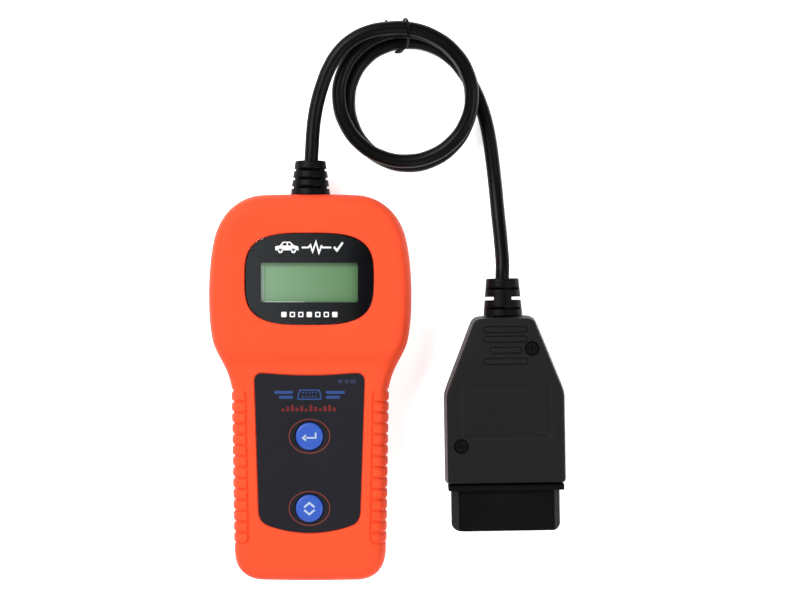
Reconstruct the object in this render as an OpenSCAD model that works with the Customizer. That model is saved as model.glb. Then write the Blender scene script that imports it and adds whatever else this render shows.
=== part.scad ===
// Handheld OBD code reader: a two-shell handset with a display and two keys,
// and a tied, coiled lead that ends in a 16-way diagnostic plug.
// The handset lies on its back: +X is its right, +Y its cable end, +Z out of its display.

/* [Handset case] */
// Length of the case, without the lead
case_len = 142.6; // [138:0.2:148]
// Width across the head
head_w = 74.8; // [73:0.2:78]
// Width across the grip, between its ridges
grip_w = 57.8; // [56:0.2:59]
// Thickness at the head
head_t = 25; // [24.6:0.1:25.5]
// Thickness at the grip
grip_t = 22.5; // [22.4:0.1:23]
// Wall thickness of both covers
wall = 2; // [1.8:0.1:2.2]
// Height of the seam between the covers
seam_z = 12; // [11.9:0.1:12.1]
// Number of grip ridges on each side
ridge_count = 14; // [10:1:14]
// Distance from one grip ridge to the next
ridge_pitch = 4; // [3.6:0.1:4]

/* [Display and keys] */
// Width of the display lens
lens_w = 47.2; // [46:0.2:49]
// Height of the display lens
lens_h = 33.6; // [33:0.2:35]
// Width of the clear window
window_w = 35.4; // [34:0.2:37]
// Height of the clear window
window_h = 14.4; // [14:0.2:16]
// Diameter of a key
key_d = 10.1; // [9.5:0.1:11]
// Travel of a key
key_travel = 0.8; // [0.4:0.1:0.9]
// Distance between the two keys
key_gap = 26.4; // [24:0.2:28]

/* [Lead] */
// Diameter of the lead
lead_d = 5.2; // [4.8:0.1:5.4]
// Mean radius of the coil
coil_r = 22.9; // [22.5:0.1:23.2]

/* [Plug] */
// Distance of the plug's middle from the handset's middle
plug_x = 71.8; // [70:0.1:76]
// Width of the plug shells
plug_w = 44.8; // [43.6:0.1:46]
// Thickness of the plug shells
plug_t = 24.6; // [24.2:0.1:25.4]
// Wall thickness of the plug shells
plug_wall = 2; // [1.8:0.1:2.2]

/* [Hidden] */
$fn = 48;

// Clearances
slip = 0.15;     // between a piece and the recess that it sits in
key_slip = 0.3;  // between a key and the hole that it moves in, on the radius
run = 0.05;      // between a plunger and its guide, on the radius
bite = 0.5;      // how far joined features run into each other

// Case
hw = head_w / 2;
gw = grip_w / 2;
lw = gw - 1.0;                   // half the width at the foot of the grip
hl = case_len / 2;
step_lo = 6.8;                   // the slope between grip and head starts here
step_hi = 14.8;                  // and ends here
ridge_out = 0.35;                // a ridge stands this far out of the grip
ridge_in = 0.25;                 // and the valleys lie this far in
ridge_first = -3.15;             // the middle of the topmost ridge
lip_h = 1.4;                     // the rear cover's lip reaches this far past the seam
lip_t = 0.8;
lip_gap = 0.3;                   // between the lip and the front cover's wall

// Case screws: 2.9 mm self-tapping, from the back
case_screw_at = [[25.5, 59], [-25.5, 59], [21, -62], [-21, -62]];
screw_seat = 6;                  // height at which a screw head seats
screw_head_r = 2.7;
screw_head_h = 2;
screw_r = 1.4;
boss_r = 3.6;

// Display stack
lens_y = 39.9;
window_y = 38.6;
lens_t = 1.4;
mask_t = 0.1;
ledge_t = 1.3;                   // the shelf that the lens sits on
lens_power = 3.3;                // exponent of the lens's rounded outline
lcd_board_size = [58, 32, 1.6];
lcd_bezel_size = [46, 23.4];
lcd_top = head_t - lens_t - mask_t - ledge_t - 0.1;
lcd_board_z = 12.5;
lcd_post = [26.5, 13.5];         // the display board's screws, from its middle

// Keys
overlay_t = 0.5;
enter_y = -17.7;
scroll_y = enter_y - key_gap;
key_rise = 0.9;                  // a key stands this far out of the overlay
key_flange_r = 6.6;
key_flange_t = 1.2;

// Main board
board_z = 8.4;
board_t = 1.6;
board_top = board_z + board_t;
board_post_at = [[25, 17], [-25, 17], [18, -52], [-18, -52]];
post_r = 2.4;
post_hole_r = 1.15;
small_screw_r = 1.1;
switch_h = 3.5;
plunger_top = board_top + 5;
plunger_r = 1.75;

// Wires
wire_d = 0.8;
wire_count = 9;
wire_row_z = 5.6;                // height at which the wires enter the header

// Lead: where it leaves the case, and the plug
exit_y = hl;
lead_z = seam_z;
handset_boot_len = 12;
plug_mid = plug_t / 2;
plug_end = 26.5;                 // the cable end of the plug shells
plug_front = -35.6;              // the mouth end of the plug shells
plug_boot_len = 13.7;
mouth_y = -52.5;                 // the rim of the plug's shroud
coil_c = [35.3, 108.1];          // the middle of the coil

// Plug housing: the standard 16-way D shape
shroud_w = 40.2;                 // across its wide side
shroud_narrow = 34.2;            // across its narrow side
shroud_h = 17;
shroud_wall = 1.4;
socket_depth = 14.5;
web_y = mouth_y + socket_depth;  // the floor of the socket
pin_pitch = 4;
pin_row = 4;                     // each row's distance from the middle
pin_tip_y = mouth_y + 5.6;
retainer_y = -28.2;              // the back of the housing, where the pin retainer starts
tail_y = -21.5;                  // the wires meet the pins here
fitted_pins = [2, 4, 5, 6, 7, 10, 14, 15, 16];
plug_screw_at = [[10, 14.3], [-16.4, -21.1]];
plug_turn = 0.9;                 // the plug lies this many degrees askew
plug_pivot = -10;                // about its middle, at this Y
function on_plug(p) = let (x = p.x, y = p.y - plug_pivot) [
    plug_x + x * cos(plug_turn) - y * sin(plug_turn),
    plug_pivot + x * sin(plug_turn) + y * cos(plug_turn), p.z
];

// The lead's free stretches, point by point
upper_route = [
    [0.3, exit_y + handset_boot_len, lead_z], [0.5, 88, 11.8], [0.8, 93.5, 11.4], [1.4, 99.5, 11.1],
    [2.6, 105.8, 11.1], [4.4, 112, 11.4], [6.9, 118.2, 11.8], [10.4, 123.8, 12.2], [15.2, 128.3, 12.5],
    [21.4, 131.4, 12.6], [28.2, 132.7, 12.7],
];
lower_route = [
    [52.3, 122.7, 2.9], [57, 117.3, 2.7], [60.6, 111.4, 2.7], [63.2, 105.4, 2.7], [65.2, 99, 2.7],
    [66.6, 92.2, 2.7], [67.6, 85.2, 2.7], [68.4, 78.2, 2.9], [69.1, 71, 3.7], [69.7, 64, 5.2],
    [70.3, 57.5, 7.4], [70.8, 51, 9.8], [71.1, 45.5, 11.6],
    on_plug([0, plug_end + plug_boot_len, plug_mid]),
];
tie_route = [
    [31.8, 124.8, 7.8], [33.2, 125.2, 7.4], [35.2, 126.3, 8.4], [36.1, 128.2, 11.2], [36.3, 130.2, 14.3],
    [36.3, 132.4, 15.9], [36, 134.8, 15.2], [35.2, 136.2, 12.8], [34.6, 136, 10], [34.8, 135, 7],
    [35.3, 133.4, 4], [35.4, 131.4, 1.4], [35.2, 129, 0.55], [34.6, 126.8, 1], [33.8, 125.4, 2.8],
    [33, 124.7, 5], [31.6, 124.5, 7.2],
];

// ---------- curves and outlines ----------

function smooth(t) = let (u = min(1, max(0, t))) u * u * (3 - 2 * u);
function bezier(a, b, c, d, t) =
    pow(1 - t, 3) * a + 3 * t * pow(1 - t, 2) * b + 3 * t * t * (1 - t) * c + pow(t, 3) * d;
function curve(a, b, c, d, n) = [for (i = [1:n]) bezier(a, b, c, d, i / n)];
function unit(v) = v / norm(v);

// A full outline from its right half, which runs from the top middle to the bottom middle.
function mirrored(half) =
    concat(half, [for (i = [len(half) - 2:-1:1]) [-half[i].x, half[i].y]]);

// Outward normals of a right half, each long enough to shift both of its neighbouring sides by 1.
function normals(half) = let (last = len(half) - 1) [
    for (i = [0:last])
        i == 0 ? [0, 1] : i == last ? [0, -1]
        : let (a = unit(half[i] - half[i - 1]), b = unit(half[i + 1] - half[i]), d = unit(a + b))
            [-d.y, d.x] / (d * a)
];
function inset(half, by) = let (n = normals(half)) [for (i = [0:len(half) - 1]) half[i] - by * n[i]];

function superellipse(a, b, power, n = 96) = [
    for (i = [0:n - 1]) let (c = cos(360 * i / n), s = sin(360 * i / n))
        [a * sign(c) * pow(abs(c), 2 / power), b * sign(s) * pow(abs(s), 2 / power)]
];
function rounded(w, h, r, n = 8) = [
    for (corner = [0:3], i = [0:n]) let (
        sx = corner == 0 || corner == 3 ? 1 : -1, sy = corner < 2 ? 1 : -1, a = 90 * (corner + i / n)
    ) [sx * (w / 2 - r) + r * cos(a), sy * (h / 2 - r) + r * sin(a)]
];

// The case's right half. Each row of points is one stretch: crown, shoulder, head, neck, grip, foot.
crown_x = hw - 20.4;
shoulder = [hw - 2.2, hl - 15.8];
head_mid = [hw, hl - 37.3];
neck_top = [hw - 1.4, 17.2];
neck_foot = [gw, -2];
foot = [lw, 11.3 - hl];
foot_x = lw - 11.2;
grip_steps = 4 * ridge_count;
function grip_point(y) = [gw + (lw - gw) * (neck_foot.y - y) / (neck_foot.y - foot.y), y];
function case_half(steps) = concat(
    [[0, hl]],
    curve([0, hl], [6, hl], [crown_x - 6, hl - 0.1], [crown_x, hl - 0.3], 2),
    curve([crown_x, hl - 0.3], [hw - 12, hl - 0.5], [hw - 4.6, hl - 6.4], shoulder, 7),
    curve(shoulder, [hw - 0.8, hl - 21.1], [hw, hl - 29.3], head_mid, 3),
    curve(head_mid, [hw, hl - 43.8], [hw - 0.4, 21.8], neck_top, 3),
    curve(neck_top, [hw - 2.6, 11.7], [gw + 0.5, 6.5], neck_foot, 7),
    [for (i = [1:steps]) grip_point(ridge_first + ridge_pitch * (0.25 - (i - 0.5) * ridge_count / steps))],
    [foot],
    curve(foot, [lw - 0.1, 5.1 - hl], [lw - 3.1, 0.3 - hl], [foot_x, 0.2 - hl], 7),
    curve([foot_x, 0.2 - hl], [foot_x / 2, 0.1 - hl], [foot_x / 3, -hl], [0, -hl], 2)
);

// Ridge height along the grip: +1 on a ridge, -1 in a valley, 0 elsewhere.
function ridge(p) = let (
    k = (ridge_first - p.y) / ridge_pitch, far = p.x < gw * 0.7 || k < -0.5 || k > ridge_count - 0.5
) far ? 0 : cos(360 * k);
function ridged(half, share) = let (n = normals(half)) [
    for (i = [0:len(half) - 1])
        let (h = ridge(half[i])) half[i] + share * (h > 0 ? ridge_out : ridge_in) * h * n[i]
];
function front_z(y) = grip_t + (head_t - grip_t) * smooth((y - step_lo) / (step_hi - step_lo));

// ---------- solids from outlines ----------

// A closed loft through rings of the same right half. Each level is [right half, height at each point].
module loft(levels) {
    m = len(levels[0][0]);
    ring = 2 * m - 2;
    points = [
        for (level = levels) let (full = mirrored(level[0]), z = level[1])
            for (i = [0:ring - 1]) [full[i].x, full[i].y, z[i < m ? i : ring - i]]
    ];
    top = (len(levels) - 1) * ring;
    sides = [
        for (k = [0:len(levels) - 2], i = [0:ring - 1]) let (a = k * ring, b = a + ring, j = (i + 1) % ring)
            each [[a + i, a + j, b + j], [a + i, b + j, b + i]]
    ];
    function left(i) = (ring - i) % ring;
    lids = [
        for (i = [0:m - 2]) each
            i == 0 ? [[top, top + 1, top + ring - 1], [ring - 1, 1, 0]]
            : i == m - 2 ? [[top + i, top + m - 1, top + left(i)], [left(i), m - 1, i]]
            : [[top + i, top + i + 1, top + left(i + 1), top + left(i)], [left(i), left(i + 1), i + 1, i]]
    ];
    polyhedron(points, concat(sides, lids), convexity = 6);
}
function level(half, z) = [half, [for (p = half) z]];

// A tube along a route, with one ring of sides at each point. ref is any direction off the route.
module tube(route, r, sides = 12, ref = [0, 0, 1]) {
    last = len(route) - 1;
    points = [
        for (i = [0:last]) let (
            t = unit(route[min(i + 1, last)] - route[max(i - 1, 0)]),
            u = unit(cross(t, ref)), v = cross(u, t)
        ) for (k = [0:sides - 1]) route[i] + r * (cos(360 * k / sides) * u + sin(360 * k / sides) * v)
    ];
    walls = [
        for (i = [0:last - 1], k = [0:sides - 1]) let (a = i * sides, b = a + sides, j = (k + 1) % sides)
            each [[a + k, b + j, a + j], [a + k, b + k, b + j]]
    ];
    ends = [[for (k = [0:sides - 1]) k], [for (k = [sides - 1:-1:0]) last * sides + k]];
    polyhedron(points, concat(walls, ends), convexity = 6);
}

// Extra points between a route's own, on a smooth curve through them.
function spline(p, n) = let (last = len(p) - 1) concat(
    [for (i = [0:last - 1], k = [0:n - 1]) let (
        t = k / n, a = p[max(i - 1, 0)], b = p[i], c = p[i + 1], d = p[min(i + 2, last)]
    ) 0.5 * (2 * b + t * (c - a) + t * t * (2 * a - 5 * b + 4 * c - d)
        + t * t * t * (3 * b - a - 3 * c + d))],
    [p[last]]
);

module plate(outline, low, high) {
    translate([0, 0, low]) linear_extrude(high - low) polygon(outline);
}
module slab(size, at, low) {
    translate([at.x - size.x / 2, at.y - size.y / 2, low]) cube(size);
}
module along_y(from, to) {
    translate([0, from, 0]) rotate([-90, 0, 0]) linear_extrude(to - from) mirror([0, 1]) children();
}
module rod(r, low, high, at = [0, 0]) {
    translate([at.x, at.y, low]) cylinder(r = r, h = high - low);
}

// ---------- case ----------

// [inset, share of the height] up the outside and the inside of a cover
outside = [[0, 0], [0.35, 0.42], [0.9, 0.68], [2.2, 0.87], [4.2, 0.97], [6.8, 1]];
inside = [[wall, -0.1], [wall + 0.5, 0.5], [wall + 1.6, 0.85], [wall + 4.6, 1]];

function ridge_share(level_inset) = 1 - smooth((level_inset - 2.2) / 4);
function cover_level(half, step, top) = let (
    ring = ridged(inset(half, step[0]), step[0] < 6 ? ridge_share(step[0]) : 0)
) [ring, [for (p = ring) seam_z + step[1] * (top(p.y) - seam_z)]];

module front_outside() {
    loft([for (s = outside) cover_level(case_half(grip_steps), s, function(y) front_z(y))]);
}
module front_inside() {
    half = case_half(ridge_count);
    loft([for (s = inside) let (ring = inset(half, s[0]))
        [ring, [for (p = ring) seam_z + s[1] * (front_z(p.y) - wall - seam_z)]]]);
}
module rear_outside() {
    half = case_half(grip_steps);
    loft([for (k = [len(outside) - 1:-1:0]) cover_level(half, outside[k], function(y) 0)]);
}
module rear_inside() {
    half = case_half(ridge_count);
    loft([for (k = [len(inside) - 1:-1:0]) level(
        inset(half, inside[k][0]), seam_z + inside[k][1] * (wall - seam_z))]);
}

// The keypad overlay's right half.
overlay_half = concat(
    [[0, 4.7]],
    curve([0, 4.7], [8, 4.7], [12, 5.2], [17, 5.5], 4),
    curve([17, 5.5], [19.1, 5.6], [20.3, 4.5], [20.25, 2.3], 5),
    [[18.75, -44.6]],
    curve([18.75, -44.6], [18.6, -48.2], [17.6, -49.8], [14.4, -50.8], 5),
    curve([14.4, -50.8], [10, -52.3], [5, -53.2], [0, -53.2], 5)
);
overlay_outline = mirrored(overlay_half);
overlay_recess = mirrored(inset(overlay_half, -slip));

module lens_shape(grow, low, high) {
    outline = superellipse(lens_w / 2 + grow, lens_h / 2 + grow, lens_power);
    translate([0, lens_y, 0]) plate(outline, low, high);
}
module window(grow, low, high) {
    slab([window_w + 2 * grow, window_h + 2 * grow, high - low], [0, window_y], low);
}
// The round way for the lead's boot through the end wall, with room for its flange.
module boot_way(r, flange = 0) {
    translate([0, hl, lead_z]) rotate([90, 0, 0]) {
        translate([0, 0, -4]) cylinder(r = r, h = 12);
        if (flange > 0) translate([0, 0, 2.2]) cylinder(r = flange, h = 2.4);
    }
}
// A rib that holds the boot's flange against the end wall.
module boot_rib(low, high) {
    difference() {
        slab([19, 1.2, high - low], [0, hl - 5.2], low);
        boot_way(3.4);
    }
}

module front_cover() {
    color("orangered") difference() {
        union() {
            difference() {
                front_outside();
                front_inside();
            }
            lens_shape(1.6, head_t - lens_t - mask_t - ledge_t, head_t - wall + 0.1);
            for (p = case_screw_at)
                rod(boss_r, seam_z, front_z(p.y) - wall + bite, p);
            for (p = board_post_at)
                rod(post_r, board_top, front_z(p.y) - wall + bite, p);
            for (x = [-1, 1], y = [-1, 1])
                rod(post_r, lcd_board_z + lcd_board_size.z, head_t - wall + bite,
                    [x * lcd_post.x, window_y + y * lcd_post.y]);
            boot_rib(seam_z + slip, head_t - wall + bite);
        }
        lens_shape(slip, head_t - lens_t - mask_t, head_t + 1);
        window(1.2, lcd_top - 1, head_t);
        plate(overlay_recess, grip_t - overlay_t, grip_t + 1);
        for (y = [enter_y, scroll_y]) rod(key_d / 2 + key_slip, grip_t - 4, grip_t + 1, [0, y]);
        for (p = case_screw_at) rod(screw_r + 0.05, seam_z - 1, screw_seat + 12.5, p);
        for (p = board_post_at) rod(post_hole_r, board_top - 1, board_top + 4.4, p);
        for (x = [-1, 1], y = [-1, 1])
            rod(post_hole_r, 13, 18.6, [x * lcd_post.x, window_y + y * lcd_post.y]);
        boot_way(5.15, 7.1);
    }
}

module rear_cover() {
    half = case_half(ridge_count);
    color("orangered") difference() {
        union() {
            difference() {
                rear_outside();
                rear_inside();
            }
            difference() {
                union() {
                    plate(mirrored(inset(half, wall - 0.3)), seam_z - 3, seam_z - 0.6);
                    plate(mirrored(inset(half, wall + lip_gap)), seam_z - 1, seam_z + lip_h);
                }
                plate(mirrored(inset(half, wall + lip_gap + lip_t)), seam_z - 4, seam_z + lip_h + 1);
            }
            for (p = case_screw_at) rod(boss_r + 0.6, wall - bite, seam_z, p);
            boot_rib(wall - bite, seam_z - slip);
        }
        for (p = case_screw_at) {
            rod(screw_head_r + 0.4, -1, screw_seat, p);
            rod(screw_r + 0.2, -1, seam_z + 1, p);
        }
        boot_way(5.15, 7.1);
    }
}

// ---------- display ----------

module display_lens() {
    color([0.8, 0.85, 0.85, 0.4]) lens_shape(0, head_t - lens_t, head_t);
}
module display_mask() {
    color("black") difference() {
        lens_shape(0, head_t - lens_t - mask_t, head_t - lens_t);
        window(0, head_t - 3, head_t);
    }
}
module lcd_board() {
    color("darkgreen") difference() {
        slab(lcd_board_size, [0, window_y], lcd_board_z);
        for (x = [-1, 1], y = [-1, 1])
            rod(1.25, lcd_board_z - 1, lcd_board_z + 3, [x * lcd_post.x, window_y + y * lcd_post.y]);
    }
}
module lcd_bezel() {
    low = lcd_board_z + lcd_board_size.z;
    sheet = 0.4;
    size = [lcd_bezel_size.x, lcd_bezel_size.y, lcd_top - low];
    color("dimgray") difference() {
        slab(size, [0, window_y], low);
        slab([size.x - 2 * sheet, size.y - 2 * sheet, size.z], [0, window_y], low - sheet);
        window(1.4, low, lcd_top + 1);
    }
}
module lcd_glass() {
    size = [lcd_bezel_size.x - 1.4, lcd_bezel_size.y - 1.4, 2.2];
    color("yellowgreen") slab(size, [0, window_y], lcd_top - 2.7);
}
module lcd_backlight() {
    low = lcd_board_z + lcd_board_size.z;
    size = [lcd_bezel_size.x - 1.8, lcd_bezel_size.y - 1.8, lcd_top - 2.8 - low];
    color("white") slab(size, [0, window_y], low);
}
// Fourteen square pins in two rows, in their black strip between the two boards.
module lcd_header() {
    gap = lcd_board_z - board_top;
    color("black") slab([5, 17.8, gap], [-20.5, window_y], board_top);
}

// ---------- keys ----------

module button(y) {
    color("royalblue") translate([0, y, 0]) {
        rotate_extrude() polygon([
            [0, plunger_top], [2, plunger_top], [2, 19.1], [key_flange_r, 19.1],
            [key_flange_r, 19.1 + key_flange_t], [key_d / 2, 19.1 + key_flange_t],
            [key_d / 2, grip_t + key_rise - 0.7], [key_d / 2 - 0.25, grip_t + key_rise - 0.25],
            [key_d / 2 - 0.8, grip_t + key_rise - 0.05], [2.5, grip_t + key_rise],
            [0, grip_t + key_rise],
        ]);
    }
}
module plunger(y) {
    color("dimgray") rod(plunger_r, 12.2, plunger_top, [0, y]);
}
module key_switch(y) {
    color("black") difference() {
        union() {
            slab([6, 6, switch_h], [0, y], board_top);
            for (x = [-1, 1], s = [-1, 1]) slab([1.6, 0.7, 0.3], [x * 3.6, y + s * 2.25], board_top);
        }
        rod(plunger_r + run, 11.2, board_top + 5, [0, y]);
    }
}
module keypad_overlay() {
    color("black") difference() {
        plate(overlay_outline, grip_t - overlay_t, grip_t);
        for (y = [enter_y, scroll_y]) rod(key_d / 2 + key_slip, grip_t - 2, grip_t + 1, [0, y]);
    }
}

// ---------- main board ----------

module main_board() {
    outline = [
        [20.3, 55.5], [31, 49], [31, 20], [29, 14], [21.5, 8], [21.5, -57], [-21.5, -57], [-21.5, 8],
        [-29, 14], [-31, 20], [-31, 49], [-20.3, 55.5],
    ];
    color("darkgreen") difference() {
        plate(outline, board_z, board_top);
        for (p = board_post_at) rod(1.25, board_z - 1, board_top + 1, p);
    }
}
module main_chip() {
    color("#222") slab([12, 12, 1.6], [0, 4], board_top);
}
module driver_chips() {
    color("#222") for (x = [-11, 11]) slab([4, 5, 1.6], [x, -8], board_top);
}
module crystal() {
    color("silver") plate([for (p = rounded(11, 4.6, 2.25)) p + [11, 13]], board_top, board_top + 3.4);
}
module regulator() {
    color("#222") union() {
        slab([6.6, 6.1, 2.3], [-12, -34], board_top);
        for (x = [-2.3, 2.3]) slab([0.8, 3, 0.6], [x - 12, -38], board_top);
    }
}
module filter_capacitor() {
    color("silver") translate([12, -34, board_top]) {
        slab([6.6, 6.6, 0.8], [0, 0], 0);
        cylinder(r = 3.15, h = 5.4);
    }
}
module wire_header() {
    color("white") difference() {
        slab([2 * wire_count + 2, 5, 5.4], [0, 51.4], board_z - 5.4);
        for (i = [0:wire_count - 1])
            slab([1.3, 3, 2], [2 * (i - (wire_count - 1) / 2), 53.5], wire_row_z - 1);
    }
}

// Each wire starts in a two-row bundle behind a boot, and ends at its own terminal.
function bundle(i) = [(i - (wire_count - 1) / 2) * 0.425, i % 2 == 0 ? -0.5 : 0.5];
function wire(from, to, n) = [
    for (k = [0:n]) let (t = k / n, s = smooth(t))
        [from.x + (to.x - from.x) * s, from.y + (to.y - from.y) * t, from.z + (to.z - from.z) * s]
];
module handset_wires() {
    color("firebrick") for (i = [0:wire_count - 1]) {
        b = bundle(i);
        tube(wire([b.x, hl - 6.3, lead_z + b.y], [2 * (i - (wire_count - 1) / 2), 52.6, wire_row_z], 8),
            wire_d / 2, 6);
    }
}

// ---------- screws ----------

// A pan head with a cross recess under a plain shank; the head's face is at z 0.
module screw(head_r, head_h, r, length) {
    difference() {
        union() {
            cylinder(r = head_r, h = head_h);
            cylinder(r = r, h = head_h + length);
        }
        for (a = [0, 90]) rotate(a) slab([2 * head_r * 0.6, 0.6, 1.2], [0, 0], -0.2);
    }
}
module case_screws() {
    color("silver") for (p = case_screw_at)
        translate([p.x, p.y, screw_seat - screw_head_h]) screw(screw_head_r, screw_head_h, screw_r, 12);
}
module board_screws() {
    color("silver") {
        for (p = board_post_at) translate([p.x, p.y, board_z - 1.3]) screw(2, 1.3, small_screw_r, 5.4);
        for (x = [-1, 1], y = [-1, 1])
            translate([x * lcd_post.x, window_y + y * lcd_post.y, lcd_board_z - 1.3])
                screw(2, 1.3, small_screw_r, 5.4);
    }
}

// ---------- lead ----------

// A moulded boot about +Y: rings that taper from r0 to r1, on a core, with webs between the rings.
module boot_rings(rings, gap, core, length, r0, r1) {
    pitch = (length + gap) / rings;
    rotate([-90, 0, 0]) {
        cylinder(r = core, h = length);
        for (i = [0:rings - 1]) {
            low = i * pitch;
            high = low + pitch - gap;
            translate([0, 0, low]) cylinder(
                r1 = r0 + (r1 - r0) * low / length, r2 = r0 + (r1 - r0) * high / length, h = high - low);
        }
    }
}
module handset_boot() {
    color("#1a1a1a") translate([0, 0, lead_z]) {
        translate([0, exit_y, 0]) {
            boot_rings(4, 0.95, 4.1, handset_boot_len, 7.15, 5.35);
            for (a = [45, 135]) rotate([0, a, 0])
                translate([-5, 0, -1.1]) cube([10, handset_boot_len - 2, 2.2]);
        }
        translate([0, hl, 0]) rotate([90, 0, 0]) rotate_extrude()
            polygon([[0, -1], [5, -1], [5, 2.3], [6.8, 2.3], [6.8, 4.4], [3.2, 4.4], [3.2, 6.3], [0, 6.3]]);
    }
}
module lead_upper() {
    color("#1a1a1a") tube(spline(upper_route, 2), lead_d / 2, 12);
}
// The bundle of turns as one ring, with its corners cut.
module lead_coil() {
    half_w = 5.3;
    top = 16;
    cut = 2;
    color("#1a1a1a") translate([coil_c.x, coil_c.y, 0]) rotate_extrude($fn = 96) polygon([
        [coil_r - half_w + cut, 0], [coil_r + half_w - cut, 0], [coil_r + half_w, cut],
        [coil_r + half_w, top - cut], [coil_r + half_w - cut, top], [coil_r - half_w + 2 * cut, top],
        [coil_r - half_w, top / 2], [coil_r - half_w, cut],
    ]);
}
module lead_lower() {
    color("#1a1a1a") tube(spline(lower_route, 2), lead_d / 2, 12);
}
module twist_tie() {
    color("#111") tube(spline(tie_route, 2), 0.45, 8, [1, 0.12, 0]);
}

// ---------- plug ----------

module on_plug() {
    translate([plug_x, plug_pivot, 0]) rotate(plug_turn) translate([0, -plug_pivot, 0]) children();
}

plug_hw = plug_w / 2;
plug_slope_top = [12.2, plug_end - 2.5];
plug_slope_foot = [plug_hw - 1.2, 1.2];
plug_bend = curve(plug_slope_foot, [plug_hw - 0.4, -0.9], [plug_hw, -2], [plug_hw, -4.2], 5);
plug_half = concat(
    [[0, plug_end]],
    curve([0, plug_end], [3, plug_end], [6, plug_end], [8.4, plug_end - 0.1], 2),
    curve([8.4, plug_end - 0.1], [10.5, plug_end - 0.3], [11.5, plug_end - 0.9], plug_slope_top, 4),
    [plug_slope_foot], plug_bend,
    [[plug_hw, plug_front + 1.4], [plug_hw - 1.2, plug_front + 0.2], [0, plug_front]]
);
plug_hollow = concat(
    [[0, plug_end], [9.2, plug_end], plug_slope_top, plug_slope_foot], plug_bend,
    [[plug_hw, plug_front], [0, plug_front]]
);
plug_outside = [[0, 0], [0.5, 0.5], [0.85, 0.88], [1.15, 0.97], [1.6, 1]];
plug_inside = [[plug_wall, -0.1], [plug_wall + 0.6, 1]];

// The upper half of the plug's body, hollow, from the seam to its upper face.
module plug_shell() {
    rise = plug_t - plug_mid;
    difference() {
        loft([for (s = plug_outside) level(inset(plug_half, s[0]), plug_mid + s[1] * rise)]);
        loft([for (s = plug_inside)
            level(inset(plug_hollow, s[0]), plug_mid + s[1] * (rise - plug_wall))]);
    }
}
// The ways through the plug's ends, for the housing and for the boot.
module plug_ways() {
    translate([0, 0, plug_mid]) {
        along_y(plug_front - 1, plug_front + 4) polygon(rounded(38.4, 16.4, 1));
        translate([0, plug_end - 4, 0]) rotate([-90, 0, 0]) cylinder(r = 4.15, h = 6);
    }
}
module plug_top_shell() {
    color("#222") on_plug() difference() {
        union() {
            plug_shell();
            for (p = plug_screw_at) rod(4, plug_mid, plug_t - plug_wall + bite, p);
            for (bar = [[21.4, 15.5], [17.85, 15.5], [13.8, 11.1], [9.8, 15.5]])
                translate([0.35, bar.x, 0])
                    plate(rounded(bar.y, 1.75, 0.8), plug_t - 1, plug_t + 0.3);
        }
        plug_ways();
        for (p = plug_screw_at) {
            rod(2.6, plug_t - 3.4, plug_t + 2, p);
            rod(1.5, plug_mid - 1, plug_t, p);
        }
        plate([for (p = rounded(30.6, 18.9, 0.8)) p + [0.5, -8.1]], plug_t - 0.3, plug_t + 1);
    }
}
module plug_bottom_shell() {
    color("#222") on_plug() difference() {
        union() {
            translate([0, 0, plug_t]) mirror([0, 0, 1]) plug_shell();
            for (p = plug_screw_at) rod(3.4, plug_wall - bite, plug_mid, p);
        }
        plug_ways();
        for (p = plug_screw_at) rod(1.25, 4, plug_mid + 1, p);
    }
}

// The 16-way D outline, seen from the mouth, narrow side up.
function d_shape(by) = let (
    w = shroud_w / 2 - by, n = shroud_narrow / 2 - by * 0.8, h = shroud_h / 2 - by, bend = -0.12 * shroud_h
) [
    [w - 1, -h], [w, -h + 1], [w, bend], [n + 0.5, h - 1.1], [n - 0.8, h],
    [0.8 - n, h], [-n - 0.5, h - 1.1], [-w, bend], [-w, 1 - h], [1 - w, -h],
];
function pin_at(k) = [-14 + pin_pitch * ((k - 1) % 8), k > 8 ? pin_row : -pin_row];

module pin_slots(from, to) {
    for (k = [1:16]) let (p = pin_at(k))
        translate([p.x - 0.85, from, p.y - 0.5]) cube([1.7, to - from, 1]);
}
module plug_housing() {
    color("#151515") on_plug() translate([0, 0, plug_mid]) difference() {
        union() {
            intersection() {
                difference() {
                    along_y(mouth_y, plug_front - 1.9) polygon(d_shape(0));
                    along_y(mouth_y - 1, web_y) polygon(d_shape(shroud_wall));
                }
                translate([0, mouth_y + 15, 0])
                    plate(rounded(shroud_w + 0.4, 30, 2.4), -shroud_h, shroud_h);
            }
            along_y(plug_front - 2, plug_front) polygon(rounded(42.4, 20.2, 1.6));
            along_y(plug_front - 1, -32) polygon(rounded(38, 16, 1));
            along_y(-32.8, -31.3) polygon(rounded(39.2, 18.4, 1));
            along_y(-32, retainer_y) polygon(rounded(36, 15, 1));
            translate([-15.5, mouth_y + 5.6, -1.2]) cube([31, socket_depth - 5, 2.4]);
        }
        pin_slots(web_y - 1, retainer_y + 1);
    }
}
module pin_retainer() {
    color("#1d1d1d") on_plug() translate([0, 0, plug_mid]) difference() {
        along_y(retainer_y, retainer_y + 2) polygon(rounded(36, 15, 1));
        pin_slots(retainer_y - 1, retainer_y + 3);
    }
}
module contact_pins() {
    color("gold") on_plug() translate([0, 0, plug_mid]) for (k = fitted_pins) let (p = pin_at(k)) {
        translate([p.x - 0.75, pin_tip_y + 1, p.y - 0.4]) cube([1.5, tail_y - pin_tip_y - 3, 0.8]);
        translate([p.x - 0.5, pin_tip_y, p.y - 0.25]) cube([1, 1.5, 0.5]);
        translate([p.x - 1, retainer_y + 2.1, p.y - 0.6]) cube([2, tail_y - retainer_y - 2.1, 1.2]);
    }
}
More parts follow.
